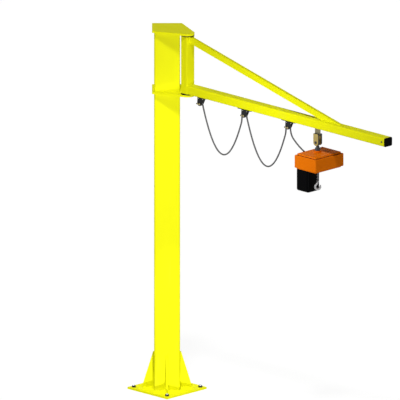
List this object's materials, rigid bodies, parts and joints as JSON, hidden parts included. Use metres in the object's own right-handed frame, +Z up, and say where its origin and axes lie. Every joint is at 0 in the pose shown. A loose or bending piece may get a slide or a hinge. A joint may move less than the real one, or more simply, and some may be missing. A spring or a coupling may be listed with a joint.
{
  "type": "column-mounted jib crane with chain hoist",
  "caption": "Free-standing jib crane: square column on a bolted plate, braced slewing arm with an inside-running trolley, electric chain hoist and looped power cable.",
  "frame": {"origin": "centre of the base plate's underside on the floor, on the column's axis", "axes": "+Z up the column, +X along the arm at rest, +Y to the arm's left when looking out along it"},
  "size_m": [3.409, 0.56, 3.755],
  "materials": {
    "yellow_paint": "satin",
    "orange_paint": "satin",
    "black_plastic": "matt",
    "dark_bearing_plastic": "matt",
    "dark_steel": "satin",
    "plain_steel": "turned",
    "zinc_yellow_steel": "yellow passivated",
    "grey_cable": "matt",
    "hook_steel": "satin"
  },
  "bodies": {
    "stand": {"base_plate": "yellow_paint", "column": "yellow_paint", "gusset_front": "yellow_paint", "gusset_right": "yellow_paint", "gusset_back": "yellow_paint", "gusset_left": "yellow_paint", "upper_bracket": "yellow_paint", "lower_bracket": "yellow_paint", "upper_bearing": "dark_bearing_plastic", "lower_bearing": "dark_bearing_plastic", "upper_pivot_pin": "plain_steel", "lower_pivot_pin": "plain_steel"},
    "jib": {"post": "yellow_paint", "arm_rail": "yellow_paint", "tie_bar": "yellow_paint", "rail_end_cap": "black_plastic", "end_stop": "plain_steel", "end_clamp_plate": "black_plastic", "end_clamp_saddle": "dark_steel", "end_clamp_screw": "zinc_yellow_steel", "power_cable": "grey_cable"},
    "inner_slider": {"inner_slider_plate": "black_plastic", "inner_slider_wheels": "dark_bearing_plastic", "inner_slider_saddle": "dark_steel", "inner_slider_screw": "zinc_yellow_steel"},
    "outer_slider": {"outer_slider_plate": "black_plastic", "outer_slider_wheels": "dark_bearing_plastic", "outer_slider_saddle": "dark_steel", "outer_slider_screw": "zinc_yellow_steel"},
    "hoist": {"trolley_hanger": "zinc_yellow_steel", "trolley_wheels": "dark_bearing_plastic", "clevis": "zinc_yellow_steel", "clevis_pin": "plain_steel", "suspension_eye": "dark_steel", "hoist_housing": "orange_paint", "hoist_lid": "orange_paint", "hoist_belly_plate": "orange_paint", "chain_guide": "black_plastic", "cable_gland": "black_plastic", "chain_container": "black_plastic"},
    "hook_block": {"load_chain": "hook_steel", "hook_ferrule": "hook_steel"},
    "hook": {"load_hook": "hook_steel"}
  },
  "joints": [
    {"name": "jib_swing", "type": "hinge", "parent": "stand", "child": "jib", "pos_m": [0.291, 0, 3.2], "axis": [0, 0, 1], "range_deg": [-110, 110]},
    {"name": "trolley_travel", "type": "slide", "parent": "jib", "child": "hoist", "axis": [1, 0, 0], "range_m": [-1, 0.86], "deforming": ["power_cable"]},
    {"name": "inner_slider_travel", "type": "slide", "parent": "jib", "child": "inner_slider", "axis": [1, 0, 0], "range_m": [-0.4, 0.344]},
    {"name": "outer_slider_travel", "type": "slide", "parent": "jib", "child": "outer_slider", "axis": [1, 0, 0], "range_m": [-0.8, 0.688]},
    {"name": "hook_lift", "type": "slide", "parent": "hoist", "child": "hook_block", "axis": [0, 0, -1], "range_m": [-0.1, 2.38], "deforming": ["load_chain"]},
    {"name": "hook_swivel", "type": "hinge", "parent": "hook_block", "child": "hook", "pos_m": [2.13, 0, 2.57], "axis": [0, 0, 1], "continuous": true}
  ],
  "couplings": [
    {"joint": "inner_slider_travel", "follows": "trolley_travel", "ratio": 0.4},
    {"joint": "outer_slider_travel", "follows": "trolley_travel", "ratio": 0.8}
  ]
}
